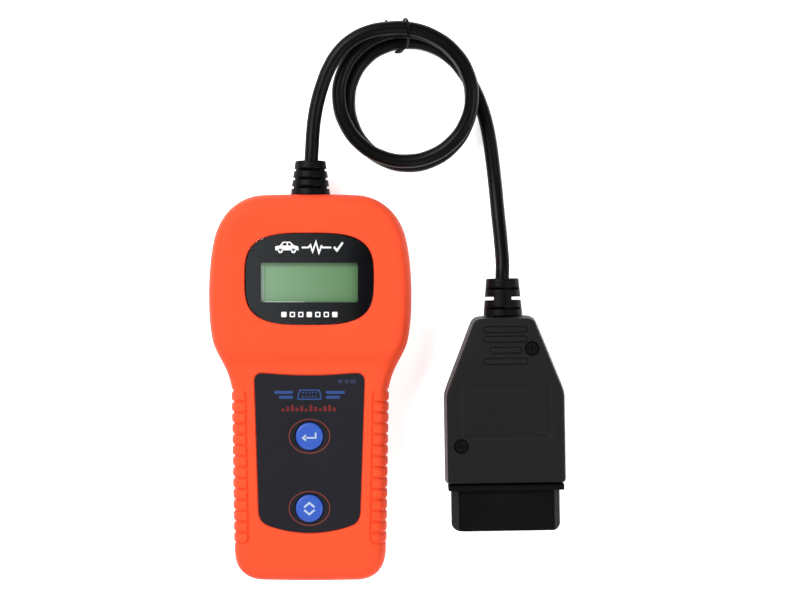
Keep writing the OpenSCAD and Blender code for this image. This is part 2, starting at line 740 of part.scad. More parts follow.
module plug_wires() {
    color("firebrick") on_plug() translate([0, 0, plug_mid]) for (i = [0:wire_count - 1]) {
        p = pin_at(fitted_pins[i]);
        low = i < 5;
        b = low ? [(i - 2) * 0.85, -0.5] : [(i - 6.5) * 0.85, 0.5];
        tube(wire([b.x, plug_end - 6, b.y], [p.x, tail_y, p.y], 12), wire_d / 2, 6);
    }
}
module plug_boot() {
    color("#1a1a1a") on_plug() translate([0, 0, plug_mid]) {
        translate([0, plug_end, 0]) {
            boot_rings(4, 0.9, 3.9, plug_boot_len, 7.2, 6);
            for (a = [0, 90]) rotate([0, a, 0]) translate([-5.6, 0, -1.6])
                cube([11.2, plug_boot_len - 2, 3.2]);
        }
        translate([0, plug_end, 0]) rotate([90, 0, 0]) rotate_extrude()
            polygon([[0, -1], [4, -1], [4, 2.4], [6, 2.4], [6, 4.4], [3, 4.4], [3, 6], [0, 6]]);
    }
}
module plug_screws() {
    color("#333") on_plug() for (p = plug_screw_at)
        translate([p.x, p.y, plug_t - 1.4]) mirror([0, 0, 1]) screw(2.3, 2, 1.2, 14);
}

front_cover();
rear_cover();
display_lens();
display_mask();
keypad_overlay();
button(enter_y);  // enter_button
button(scroll_y);  // scroll_button
plunger(enter_y);  // enter_plunger
plunger(scroll_y);  // scroll_plunger
key_switch(enter_y);  // enter_switch
key_switch(scroll_y);  // scroll_switch
lcd_bezel();
lcd_glass();
lcd_backlight();
lcd_board();
lcd_header();
main_board();
main_chip();
driver_chips();
crystal();
regulator();
filter_capacitor();
wire_header();
handset_wires();
case_screws();
board_screws();
handset_boot();
lead_upper();
lead_coil();
lead_lower();
twist_tie();
plug_boot();
plug_top_shell();
plug_bottom_shell();
plug_housing();
pin_retainer();
contact_pins();
plug_wires();
plug_screws();
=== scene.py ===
"""The looks of the OBD code reader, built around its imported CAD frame.

Shapes are worked out in millimetres and turned into metres when a piece is made.
"""
import math

import bmesh
import bpy
import numpy as np
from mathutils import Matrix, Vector, geometry


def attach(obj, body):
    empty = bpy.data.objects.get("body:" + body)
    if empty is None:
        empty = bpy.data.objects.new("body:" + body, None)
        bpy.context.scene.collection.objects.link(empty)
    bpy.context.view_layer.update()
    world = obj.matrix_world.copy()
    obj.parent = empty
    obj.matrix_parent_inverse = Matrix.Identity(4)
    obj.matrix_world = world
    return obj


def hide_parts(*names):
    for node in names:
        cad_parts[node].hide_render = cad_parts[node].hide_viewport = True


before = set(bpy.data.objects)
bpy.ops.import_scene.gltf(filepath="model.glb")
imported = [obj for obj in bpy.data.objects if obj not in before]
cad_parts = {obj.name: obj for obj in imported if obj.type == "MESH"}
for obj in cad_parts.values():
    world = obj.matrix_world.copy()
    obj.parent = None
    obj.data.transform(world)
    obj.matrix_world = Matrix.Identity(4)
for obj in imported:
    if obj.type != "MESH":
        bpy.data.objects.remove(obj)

MM = 0.001
scene = bpy.context.scene
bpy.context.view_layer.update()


# ---------- lines and outlines ----------

def smooth(t):
    """0 to 1 with a level start and end."""
    t = np.clip(t, 0.0, 1.0)
    return t * t * (3 - 2 * t)


def bezier(a, b, c, d, n=24):
    """Points along a cubic, without its first."""
    t = (np.arange(1, n + 1) / n)[:, None]
    a, b, c, d = (np.array(p, float) for p in (a, b, c, d))
    return (1 - t) ** 3 * a + 3 * t * (1 - t) ** 2 * b + 3 * t * t * (1 - t) * c + t ** 3 * d


def respaced(points, gap):
    """The same line with its points evenly spaced, about gap apart."""
    points = np.array(points, float)
    along = np.r_[0, np.cumsum(np.linalg.norm(np.diff(points, axis=0), axis=1))]
    at = np.linspace(0, along[-1], max(2, round(along[-1] / gap) + 1))
    return np.column_stack([np.interp(at, along, points[:, i]) for i in range(points.shape[1])])


def mirrored(half):
    """A closed outline from its right half, which runs from the top middle to the bottom middle."""
    return np.vstack([half, half[-2:0:-1] * [-1, 1]])


def outward(loop):
    """Unit normals of a closed outline."""
    t = np.roll(loop, -1, 0) - np.roll(loop, 1, 0)
    t /= np.linalg.norm(t, axis=1)[:, None]
    x, y = loop.T
    turn = np.sign(np.sum(x * np.roll(y, -1) - y * np.roll(x, -1)))
    return np.column_stack([t[:, 1], -t[:, 0]]) * turn


def grown(loop, by):
    return loop + by * outward(loop)


def circle(r, at=(0, 0), n=48):
    a = 2 * np.pi * np.arange(n) / n
    return np.column_stack([at[0] + r * np.cos(a), at[1] + r * np.sin(a)])


def ellipse(rx, ry, at=(0, 0), n=72):
    return circle(1, (0, 0), n) * [rx, ry] + at


def superellipse(a, b, power, at=(0, 0), n=160):
    c = circle(1, (0, 0), n)
    return np.sign(c) * np.abs(c) ** (2 / power) * [a, b] + at


def rounded(w, h, r, at=(0, 0), gap=1.2):
    """A rectangle with round corners, its points evenly spaced."""
    a = np.radians(np.arange(0, 91, 9 if r > 0.4 else 18))
    line = [
        (sx * (w / 2 - r) + r * math.cos(t), sy * (h / 2 - r) + r * math.sin(t))
        for sx, sy, turn in ((1, 1, 0), (-1, 1, 90), (-1, -1, 180), (1, -1, 270))
        for t in a + math.radians(turn)
    ]
    full = []
    for p, q in zip(line, line[1:] + line[:1]):
        p, q = np.array(p), np.array(q)
        steps = max(1, round(np.linalg.norm(q - p) / gap))
        full += [p + (q - p) * k / steps for k in range(steps)]
    return np.array(full) + at


def stroke(points, width, closed=False):
    """The outline of a pen line with mitred corners; two outlines, outer and inner, for a closed one."""
    p = np.array(points, float)
    d = np.roll(p, -1, 0) - p
    d /= np.linalg.norm(d, axis=1)[:, None]
    before, after = np.roll(d, 1, 0), d
    if not closed:
        before, after = before.copy(), after.copy()
        before[0], after[-1] = after[0], before[-1]
    t = before + after
    t /= np.linalg.norm(t, axis=1)[:, None]
    share = np.maximum((t * before).sum(1), 0.35)[:, None]
    n = np.column_stack([-t[:, 1], t[:, 0]]) / share * width / 2
    return [p + n, p - n] if closed else [np.vstack([p + n, (p - n)[::-1]])]


def inside(points, loop):
    """Which points lie inside a closed outline."""
    x, y = points[:, :1], points[:, 1:2]
    (ax, ay), (bx, by) = loop[:, :2].T, np.roll(loop[:, :2], -1, 0).T
    with np.errstate(divide="ignore", invalid="ignore"):
        crossed = ((ay > y) != (by > y)) & (x < ax + (y - ay) / (by - ay) * (bx - ax))
    return crossed.sum(1) % 2 == 1


# ---------- meshes ----------

class Skin:
    """The points and faces of one closed mesh, gathered ring by ring."""

    def __init__(self):
        self.points, self.faces = [], []

    def ring(self, loop, z):
        """Adds an outline at a height, or at a height for each point, and returns its indices."""
        first = len(self.points)
        z = z(loop[:, 0], loop[:, 1]) if callable(z) else np.broadcast_to(z, len(loop))
        self.points += [(x, y, h) for (x, y), h in zip(loop[:, :2], z)]
        return list(range(first, len(self.points)))

    def band(self, a, b):
        for i in range(len(a)):
            j = (i + 1) % len(a)
            self.faces.append((a[i], a[j], b[j], b[i]))

    def bands(self, rings):
        """Joins each ring to the next. Returns the first and last ring."""
        for a, b in zip(rings, rings[1:]):
            self.band(a, b)
        return rings[0], rings[-1]

    def walls(self, loop, steps):
        """Rings of one outline, grown and at a height as each step says, joined by bands.

        Returns the first and last ring.
        """
        return self.bands([self.ring(grown(loop, g), z) for g, z in steps])

    def fill(self, outer, holes=(), height=None, gap=0.0, rows=None):
        """A surface between rings, with points of its own gap apart if height says how high they are.

        rows lists the y of any rows of points that lie closer together.
        """
        loops = [outer, *holes]
        outlines = [np.array([self.points[i][:2] for i in loop]) for loop in loops]
        points, ids, edges = np.vstack(outlines), [i for loop in loops for i in loop], []
        for loop in loops:
            first = len(edges)
            edges += [(first + k, first + (k + 1) % len(loop)) for k in range(len(loop))]
        if height is not None and gap:
            low, high = outlines[0].min(0), outlines[0].max(0)
            ys = np.arange(low[1] + gap / 2, high[1], gap)
            if rows is not None:
                ys = np.r_[ys[(ys < rows[0] - gap / 2) | (ys > rows[-1] + gap / 2)], rows]
            xs = np.arange(low[0] + gap / 2, high[0], gap)
            grid = np.array([(x, y) for y in ys for x in xs])
            ok = inside(grid, outlines[0])
            for hole in outlines[1:]:
                ok &= ~inside(grid, hole)
            grid = grid[ok]
            near = np.sqrt(((grid[:, None] - points[None]) ** 2).sum(2)).min(1)
            grid = grid[near > 0.45 * gap]
            ids += self.ring(grid, height)
            points = np.vstack([points, grid])
        corners, _, triangles, sources = geometry.delaunay_2d_cdt(
            [Vector(p) for p in points], edges, [], 0, 1e-7, True)[:4]
        crossed = [tuple(v) for v, source in zip(corners, sources) if not source]
        if crossed:
            raise ValueError(f"outlines cross at {crossed[:4]}")
        names = [ids[source[0]] for source in sources]
        faces = np.array(triangles)
        middles = np.array([tuple(v) for v in corners])[faces].mean(1)
        keep = inside(middles, outlines[0])
        for hole in outlines[1:]:
            keep &= ~inside(middles, hole)
        self.faces += [tuple(names[i] for i in f) for f in faces[keep]]

    def tube(self, rings):
        """Joins rings of full points, each an array of x, y, z, into a closed ring of rings."""
        all_ids = []
        for r in rings:
            first = len(self.points)
            self.points += [tuple(p) for p in r]
            all_ids.append(list(range(first, len(self.points))))
        for a, b in zip(all_ids, all_ids[1:] + all_ids[:1]):
            self.band(a, b)


def fillet(r, top, side, n=4):
    """Steps from a level surface round an edge. side is 1 round a hole and -1 round a plate."""
    return [
        (side * r * (1 - math.sin(a)), top - r * (1 - math.cos(a)))
        for a in np.linspace(0, math.pi / 2, n + 1)
    ]


LEVEL_RIM = 0.25                 # how wide a plate's face stays level inside its rounded edge


def flat(z):
    """The height function of a level surface."""
    return lambda x, y: np.full(len(x), z)


def plate(skin, outer, low, high, holes=(), r=0.0, gap=0.0):
    """A flat closed solid with its upper edges rounded."""
    edge = [(-r - LEVEL_RIM, high), *fillet(r, high, -1)] if r else [(0, high)]
    rim = fillet(r, high, 1) if r else [(0, high)]
    outers = skin.walls(outer, edge + [(0, low)])
    inners = [skin.walls(h, rim + [(0, low)]) for h in holes]
    skin.fill(outers[0], [i[0] for i in inners], flat(high) if gap else None, gap)
    skin.fill(outers[1], [i[1] for i in inners])


def closed_mesh(name, skin, move=None):
    """A smooth mesh in metres, with its faces turned outward."""
    points = np.array(skin.points)
    if move is not None:
        points = move(points)
    mesh = bpy.data.meshes.new(name)
    mesh.from_pydata((points * MM).tolist(), [], skin.faces)
    bm = bmesh.new()
    bm.from_mesh(mesh)
    bmesh.ops.recalc_face_normals(bm, faces=bm.faces)
    for f in bm.faces:
        f.smooth = True
    bm.to_mesh(mesh)
    bm.free()
    return mesh


def piece(name, skin, material, body, replaces=(), sharp=35, move=None):
    """One mesh object that rides on its body. sharp is the least angle of a hard edge, in degrees."""
    mesh = closed_mesh(name, skin, move)
    mesh.set_sharp_from_angle(angle=math.radians(sharp))
    mesh.materials.append(material)
    return placed(bpy.data.objects.new(name, mesh), body, replaces)


def lathe(profile, at=(0, 0), n=40, made=None):
    """A closed solid of (radius, height) steps about an upright axis."""
    made = made or Skin()
    for end in made.bands([made.ring(circle(r, at, n), z) for r, z in profile]):
        made.fill(end)
    return made


def carve(thing, skin, operation="DIFFERENCE", sharp=35):
    """Cuts a closed skin out of a piece, or joins it on."""
    cutter = bpy.data.objects.new("cutter", closed_mesh("cutter", skin))
    scene.collection.objects.link(cutter)
    cut = thing.modifiers.new("cut", "BOOLEAN")
    cut.object, cut.operation, cut.solver = cutter, operation, "EXACT"
    result = bpy.data.meshes.new_from_object(thing.evaluated_get(bpy.context.evaluated_depsgraph_get()))
    thing.modifiers.clear()
    result.name = thing.name
    thing.data = result
    result.set_sharp_from_angle(angle=math.radians(sharp))
    bpy.data.objects.remove(cutter)


def placed(thing, body, replaces=()):
    """Puts an object in the scene on a body, in place of the frame's nodes that it stands for."""
    scene.collection.objects.link(thing)
    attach(thing, body)
    if replaces:
        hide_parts(*replaces)
    return thing


def wire(name, routes, r, material, bevel=4):
    """A round flexible line as one curve object, through the points of each route."""
    curve = bpy.data.curves.new(name, "CURVE")
    curve.dimensions = "3D"
    curve.bevel_depth, curve.bevel_resolution, curve.resolution_u = r * MM, bevel, 8
    curve.use_fill_caps = True
    for route in routes:
        line = curve.splines.new("BEZIER")
        line.bezier_points.add(len(route) - 1)
        for point, at in zip(line.bezier_points, route):
            point.co = Vector(at) * MM
            point.handle_left_type = point.handle_right_type = "AUTO"
    curve.materials.append(material)
    return bpy.data.objects.new(name, curve)


# ---------- materials ----------

def linear(r, g, b):
    """A colour given in 0 to 255 as the screen shows it."""
    shares = (r / 255, g / 255, b / 255)
    return tuple(c / 12.92 if c <= 0.04045 else ((c + 0.055) / 1.055) ** 2.4 for c in shares)


def finish(name, colour, rough, drift=0.05, drift_mm=18, grain_mm=0.35, grain_um=4, uneven=0.06, **sockets):
    """A surface whose colour drifts slightly, with a fine grain in its relief and its gloss."""
    m = bpy.data.materials.new(name)
    m.use_nodes = True
    nodes, link = m.node_tree.nodes, m.node_tree.links.new
    shader = nodes["Principled BSDF"]
    for key, value in sockets.items():
        shader.inputs[key.replace("_", " ")].default_value = value
    at = nodes.new("ShaderNodeTexCoord").outputs["Object"]

    def noise(size_mm, detail):
        n = nodes.new("ShaderNodeTexNoise")
        n.inputs["Scale"].default_value = 1 / (size_mm * MM)
        n.inputs["Detail"].default_value = detail
        link(at, n.inputs["Vector"])
        return n.outputs["Fac"]

    broad, fine = noise(drift_mm, 3), noise(grain_mm, 2)
    ramp = nodes.new("ShaderNodeValToRGB")
    base = linear(*colour)
    for stop, share in zip(ramp.color_ramp.elements, (1 - drift, 1 + drift)):
        stop.color = (*(min(1.0, c * share) for c in base), 1)
    ramp.color_ramp.elements[0].position, ramp.color_ramp.elements[1].position = 0.3, 0.7
    link(broad, ramp.inputs["Fac"])
    link(ramp.outputs["Color"], shader.inputs["Base Color"])
    gloss = nodes.new("ShaderNodeMapRange")
    gloss.inputs["To Min"].default_value = max(0.02, rough - uneven)
    gloss.inputs["To Max"].default_value = rough + uneven
    link(fine, gloss.inputs["Value"])
    link(gloss.outputs["Result"], shader.inputs["Roughness"])
    bump = nodes.new("ShaderNodeBump")
    bump.inputs["Strength"].default_value = 1.0
    bump.inputs["Distance"].default_value = grain_um * 1e-6
    link(fine, bump.inputs["Height"])
    link(bump.outputs["Normal"], shader.inputs["Normal"])
    return m


def across(m, left, right, half_mm):
    """Runs the colour of a finish from left to right over half_mm on each side of the middle."""
    nodes, link = m.node_tree.nodes, m.node_tree.links.new
    x = nodes.new("ShaderNodeSeparateXYZ")
    link(nodes.new("ShaderNodeTexCoord").outputs["Object"], x.inputs[0])
    share = nodes.new("ShaderNodeMapRange")
    share.inputs["From Min"].default_value = -half_mm * MM
    share.inputs["From Max"].default_value = half_mm * MM
    link(x.outputs["X"], share.inputs["Value"])
    ramp = nodes.new("ShaderNodeValToRGB")
    for stop, colour in zip(ramp.color_ramp.elements, (left, right)):
        stop.color = (*linear(*colour), 1)
    link(share.outputs["Result"], ramp.inputs["Fac"])
    link(ramp.outputs["Color"], nodes["Principled BSDF"].inputs["Base Color"])
    return m


def clear(name, colour, glare, rough, ior):
    """A clear sheet: its outer side mirrors as its index says, tinted by glare, and lets the rest through."""
    m = bpy.data.materials.new(name)
    m.use_nodes = True
    nodes, link = m.node_tree.nodes, m.node_tree.links.new
    nodes.clear()
    out, mix = nodes.new("ShaderNodeOutputMaterial"), nodes.new("ShaderNodeMixShader")
    see, mirror, fresnel = (nodes.new("ShaderNode" + k) for k in ("BsdfTransparent", "BsdfGlossy", "Fresnel"))
    see.inputs["Color"].default_value = (*linear(*colour), 1)
    mirror.inputs["Color"].default_value = (*glare, 1)
    mirror.inputs["Roughness"].default_value = rough
    fresnel.inputs["IOR"].default_value = ior
    front, share = nodes.new("ShaderNodeMath"), nodes.new("ShaderNodeMath")
    front.operation, share.operation = "SUBTRACT", "MULTIPLY"
    front.inputs[0].default_value = 1.0
    link(nodes.new("ShaderNodeNewGeometry").outputs["Backfacing"], front.inputs[1])
    link(fresnel.outputs[0], share.inputs[0])
    link(front.outputs[0], share.inputs[1])
    link(share.outputs[0], mix.inputs[0])
    link(see.outputs[0], mix.inputs[1])
    link(mirror.outputs[0], mix.inputs[2])
    link(mix.outputs[0], out.inputs["Surface"])
    return m


ORANGE = finish("case_plastic", (226, 75, 44), 0.5, drift=0.02, grain_mm=0.25, grain_um=3,
                Specular_IOR_Level=0.04)
FILM = finish("keypad_film", (15, 15, 23), 0.42, drift=0.08, grain_mm=0.2, grain_um=4,
              Specular_IOR_Level=0.25)
BLUE = finish("key_plastic", (44, 79, 165), 0.4, drift=0.03, grain_mm=0.2, grain_um=2, Specular_IOR_Level=0.3)
MASK = finish("lens_print", (4, 4, 6), 0.5, Specular_IOR_Level=0.0)
LENS = clear("lens_acrylic", (252, 252, 252), (0.9, 0.96, 1), 0.06, 1.45)
WHITE = finish("print_white", (236, 238, 240), 0.5, drift=0.03, Specular_IOR_Level=0.1)
PALE = finish("print_key", (162, 174, 194), 0.5, drift=0.03, Specular_IOR_Level=0.2)
HEAD_BLUE = finish("print_blue", (34, 60, 114), 0.5, drift=0.06, Specular_IOR_Level=0.25)
DIM_BLUE = finish("print_dim_blue", (34, 38, 66), 0.5, drift=0.06, Specular_IOR_Level=0.25)
RED = finish("print_red", (96, 22, 18), 0.5, drift=0.06, Specular_IOR_Level=0.25)
RING = finish("print_ring", (112, 44, 34), 0.5, drift=0.08, Specular_IOR_Level=0.25)
CORD = finish("lead_jacket", (7, 7, 7), 0.36, drift=0.1, grain_mm=0.5, grain_um=3, Specular_IOR_Level=0.08)
RUBBER = finish("boot_rubber", (9, 9, 10), 0.45, drift=0.1, grain_mm=0.3, grain_um=6, Specular_IOR_Level=0.06)
TIE = finish("tie_coat", (5, 5, 5), 0.35, grain_mm=0.4, Specular_IOR_Level=0.1)
SHELL = finish("plug_plastic", (18, 18, 18), 0.5, drift=0.08, grain_mm=0.45, grain_um=12, uneven=0.08,
               Specular_IOR_Level=0.13)
INSERT = finish("plug_insert", (16, 16, 16), 0.4, drift=0.1, grain_mm=0.5, grain_um=2,
                Specular_IOR_Level=0.004)
DARK_STEEL = finish("screw_dark", (22, 22, 24), 0.35, Metallic=0.8)
STEEL = finish("screw_steel", (160, 160, 165), 0.3, Metallic=1.0)
GOLD = finish("contact_gold", (232, 190, 96), 0.3, Metallic=1.0)
TIN = finish("bezel_steel", (130, 132, 136), 0.35, Metallic=1.0)
CAN = finish("can_metal", (180, 180, 184), 0.3, Metallic=1.0)
BOARD = finish("board_mask", (14, 62, 36), 0.35, drift=0.12, drift_mm=4)
CHIP = finish("chip_resin", (18, 18, 20), 0.55, grain_mm=0.15)
NYLON = finish("header_nylon", (180, 176, 162), 0.45, drift=0.04)
INNER_WIRE = finish("wire_jacket", (120, 22, 20), 0.4)
SWITCH = finish("switch_body", (20, 20, 22), 0.5)
DIFFUSER = finish("diffuser", (190, 193, 188), 0.6)
# Painted light: the display glass runs paler at its left and darker at its right, a painted gradient of light
# and shade across it.
LCD = across(finish("lcd_glass", (111, 148, 108), 0.25, Specular_IOR_Level=0.1),
             (114, 148, 114), (85, 119, 80), 17)
# A painted highlight: the pale colour of the lit strip along the display glass's edge.
LCD_EDGE_HIGHLIGHT = finish("lcd_edge_highlight", (165, 193, 174), 0.4, drift=0.03, Specular_IOR_Level=0.1)
FLOOR = finish("floor_paper", (250, 250, 250), 0.8, drift=0.004, drift_mm=120, grain_mm=1.5, grain_um=5,
               Emission_Color=(1, 1, 1, 1), Emission_Strength=0.6)


# ---------- camera ----------

view = bpy.data.cameras.new("camera")
view.sensor_width, view.lens = 36, 109.35
view.clip_start, view.clip_end = 0.01, 20
eye = bpy.data.objects.new("camera", view)
eye.location = (0.03315, 0.0322, 0.912)
scene.collection.objects.link(eye)
scene.camera = eye


# ---------- lead ----------

LEAD_R = 2.6
PLUG_X, PLUG_PIVOT, PLUG_TURN = 71.8, -10, math.radians(0.9)
PLUG_T = 24.6
PLUG_MID = PLUG_T / 2
plug_hw, plug_end, plug_front = 22.4, 26.5, -35.6


def on_plug(points):
    """Moves points from the plug's own frame to where it lies, slightly askew."""
    p = np.array(points, float)
    x, y = p[..., 0], p[..., 1] - PLUG_PIVOT
    out = p.copy()
    out[..., 0] = PLUG_X + x * math.cos(PLUG_TURN) - y * math.sin(PLUG_TURN)
    out[..., 1] = PLUG_PIVOT + x * math.sin(PLUG_TURN) + y * math.cos(PLUG_TURN)
    return out


def through(keys, at):
    """A smooth curve through (place, value) keys."""
    x, y = np.array(sorted(keys), float).T
    slope = np.gradient(y, x)
    k = np.clip(np.searchsorted(x, at, side="right") - 1, 0, len(x) - 2)
    h = x[k + 1] - x[k]
    t = (at - x[k]) / h
    return ((2 * t ** 3 - 3 * t ** 2 + 1) * y[k] + (t ** 3 - 2 * t ** 2 + t) * h * slope[k]
            + (3 * t ** 2 - 2 * t ** 3) * y[k + 1] + (t ** 3 - t ** 2) * h * slope[k + 1])


upper_route = [
    (0.3, 83.3, 12), (0.5, 88, 11.8), (0.8, 93.5, 11.4), (1.4, 99.5, 11.1), (2.6, 105.8, 11.1),
    (4.4, 112, 11.4), (6.9, 118.2, 11.8), (10.4, 123.8, 12.2), (15.2, 128.3, 12.5), (21.4, 131.4, 12.6),
    (28.2, 132.7, 12.7),
]
lower_route = [
    (52.3, 122.7, 2.9), (57, 117.3, 2.7), (60.6, 111.4, 2.7), (63.2, 105.4, 2.7), (65.2, 99, 2.7),
    (66.6, 92.2, 2.7), (67.6, 85.2, 2.7), (68.4, 78.2, 2.9), (69.1, 71, 3.7), (69.7, 64, 5.2),
    (70.3, 57.5, 7.4), (70.8, 51, 9.8), (71.1, 45.5, 11.6),
]
# The coil's radius at some angles, and its height every 45 degrees, as it winds clockwise from the top.
COIL_AT, COIL_FROM, COIL_TO = (36.2, 106.8), 90, -674
coil_radius = [
    (107, 27.1), (90, 25.9), (0, 23.5), (-90, 22.9), (-160, 25.0), (-195, 26.2), (-235, 26.3),
    (-270, 25.2), (-360, 23.5), (-450, 24.2), (-540, 22.4), (-585, 22.3), (-630, 21.8), (-675, 22.6),
]
coil_heights = (
    12.8, 13.2, 12.4, 9.5, 7.75, 7.0, 6.85, 7.1, 7.7, 8.0, 7.2, 4.3, 2.65, 2.6, 2.6, 2.9, 3.5, 2.9,
)
coil_height = [(COIL_FROM - 45 * i, z) for i, z in enumerate(coil_heights)]
turns = np.arange(COIL_FROM, COIL_TO, -22.5)
coil = [
    (COIL_AT[0] + r * math.cos(math.radians(a)), COIL_AT[1] + r * math.sin(math.radians(a)), z)
    for a, r, z in zip(turns, through(coil_radius, turns), through(coil_height, turns))
]
plug_exit = on_plug([0, 40.2, PLUG_MID])
# Each end runs a little way into its boot.
lead_route = [(0.3, 80, 12)] + upper_route + coil + lower_route + [plug_exit, on_plug([0, 37, PLUG_MID])]
lead = placed(wire("lead", [lead_route], LEAD_R, CORD, 6), "handset",
              ("lead_upper", "lead_coil", "lead_lower"))


# ---------- case ----------

SEAM_Z = 12
HEAD_T, GRIP_T = 25, 22.5
HEAD_CEILING, GRIP_CEILING = 22.2, 20.5
STEP_LO, STEP_HI = 6.8, 14.8
EDGE = 7.0                       # how far in from the side the rounded edge ends
RIB_FIRST, RIB_PITCH, RIB_COUNT = -3.2, 4.0, 14
RIB_REACH = 5.6                  # how far in from the side the ribs end
GRIP_FLANK = 20                  # the ribs lie further than this from the middle
RIB_SINK, RIB_RISE = 0.15, 0.35  # how low the ribs start and how high they rise
GROOVE = 0.6                     # depth of the grooves between and around them
half_head, half_grip, half_foot, half_len = 37.4, 28.9, 27.9, 71.3

shoulder, head_mid = (half_head - 2.2, half_len - 15.8), (half_head, half_len - 37.3)
neck_top, neck_foot = (half_head - 1.4, 17.2), (half_grip, -2)
foot, foot_x = (half_foot, 11.3 - half_len), half_foot - 11.2
upper_half = np.vstack([
    [(0, half_len)],
    bezier((0, half_len), (6, half_len), (11, half_len - 0.1), (17, half_len - 0.3)),
    bezier((17, half_len - 0.3), (half_head - 12, half_len - 0.5), (half_head - 4.6, half_len - 6.4),
           shoulder),
    bezier(shoulder, (half_head - 0.8, half_len - 21.1), (half_head, half_len - 29.3), head_mid),
    bezier(head_mid, (half_head, half_len - 43.8), (half_head - 0.4, 21.8), neck_top),
    bezier(neck_top, (half_head - 2.6, 11.7), (half_grip + 0.5, 6.5), neck_foot),
])
lower_half = np.vstack([
    [foot],
    bezier(foot, (half_foot - 0.1, 5.1 - half_len), (half_foot - 3.1, 0.3 - half_len),
           (foot_x, 0.2 - half_len)),
    bezier((foot_x, 0.2 - half_len), (foot_x / 2, 0.1 - half_len), (foot_x / 3, -half_len), (0, -half_len)),
])


def case_outline(gap, grip_gap):
    """The handset's outline, with its own spacing along the straight grip."""
    grip = respaced([neck_foot, foot], grip_gap)[1:-1]
    return mirrored(np.vstack([respaced(upper_half, gap), grip, respaced(lower_half, gap)]))


case = case_outline(0.9, RIB_PITCH / 18)
coarse_case = case_outline(2.2, 4)


def stepped(low, high):
    """The height function of a surface that rises from the grip to the head."""
    return lambda x, y: low + (high - low) * smooth((y - STEP_LO) / (STEP_HI - STEP_LO))


front_z = stepped(GRIP_T, HEAD_T)
ceiling_z = stepped(GRIP_CEILING, HEAD_CEILING)


def ribs(y, inset):
    """How far the grip's moulded ridges, and the groove that frames them, stand out.

    inset is how far in from the side. d is the distance to the groove, and w is 0 on a ridge and 1
    between two.
    """
    last = RIB_FIRST - RIB_PITCH * (RIB_COUNT - 0.5)
    from_side = RIB_REACH - inset
    along = np.minimum(RIB_FIRST + RIB_PITCH / 2 - y, y - last)
    r = 2.0
    corner = r - np.hypot(np.maximum(r - from_side, 0), np.maximum(r - along, 0))
    d = np.where((from_side < r) & (along < r), corner, np.minimum(from_side, along))
    w = (RIB_FIRST - y) / RIB_PITCH
    w = 2 * np.abs(w - np.round(w))
    bump = -RIB_SINK + RIB_RISE * (1 - w ** 2.4) ** 0.75 - GROOVE * np.exp(-((1 - w) / 0.22) ** 2)
    return bump * smooth((d - 0.1) / 0.3) - GROOVE * np.exp(-(d / 0.3) ** 2)


def edge_profile(count):
    """(inset, share of the height) up a cover's rounded side, a flattened quarter ellipse.

    The steps lie closer together at the ribs' border.
    """
    t = np.linspace(0, math.pi / 2, 4000)
    inset, share = EDGE * (1 - np.cos(t) ** 0.556), np.sin(t) ** 0.769
    along = np.r_[0, np.cumsum(np.hypot(np.diff(inset), 12 * np.diff(share)))]
    border = np.interp(RIB_REACH + np.arange(-0.6, 0.61, 0.15), inset, along)
    at = np.unique(np.r_[np.linspace(0.3, along[-1], count), border])
    return np.column_stack([np.interp(at, along, inset), np.interp(at, along, share)])


def cover_side(skin, top, levels=26):
    """The outside of a cover from its seam to where its face begins. top gives the face's height.

    Returns the first and last ring. The ribs lie on the grip alone, and fade out at the face.
    """
    steps = edge_profile(levels)
    n = outward(case)
    rise = np.gradient(steps[:, 1])
    run = np.gradient(steps[:, 0])
    rings = [skin.ring(grown(case, -0.3) + n * ribs(case[:, 1], 0)[:, None], SEAM_Z)]
    for k, (inset, share) in enumerate(steps):
        at = grown(case, -inset)
        height = top(at[:, 0], at[:, 1]) - SEAM_Z
        up, out = run[k] * np.sign(height), rise[k] * np.abs(height)
        size = np.hypot(up, out)
        d = ribs(at[:, 1], inset) * (np.abs(at[:, 0]) > GRIP_FLANK)
        if k == len(steps) - 1:
            d = d * 0
        rings.append(skin.ring(at + n * (d * out / size)[:, None], SEAM_Z + share * height + d * up / size))
    return skin.bands(rings)


LENS_AT, LENS_W, LENS_H, LENS_POWER = (0, 39.9), 47.2, 33.6, 3.3
MASK_Z, FILM_SEAT = 23.5, 22.0
WINDOW_AT, WINDOW_W, WINDOW_H = (0, 38.6), 35.4, 14.4
lens_loop = superellipse(LENS_W / 2, LENS_H / 2, LENS_POWER, LENS_AT)
overlay_half = np.vstack([
    [(0, 4.7)],
    bezier((0, 4.7), (8, 4.7), (12, 5.2), (17, 5.5)),
    bezier((17, 5.5), (19.1, 5.6), (20.3, 4.5), (20.25, 2.3)),
    [(18.75, -44.6)],
    bezier((18.75, -44.6), (18.6, -48.2), (17.6, -49.8), (14.4, -50.8)),
    bezier((14.4, -50.8), (10, -52.3), (5, -53.2), (0, -53.2)),
])
overlay_loop = mirrored(respaced(overlay_half, 0.8))
KEY_R, KEY_HOLE_R, ENTER_Y, SCROLL_Y = 5.05, 5.35, -17.7, -44.1
WELL_GAP = 0.15                  # how far a well lies outside the outline of the lens or the film

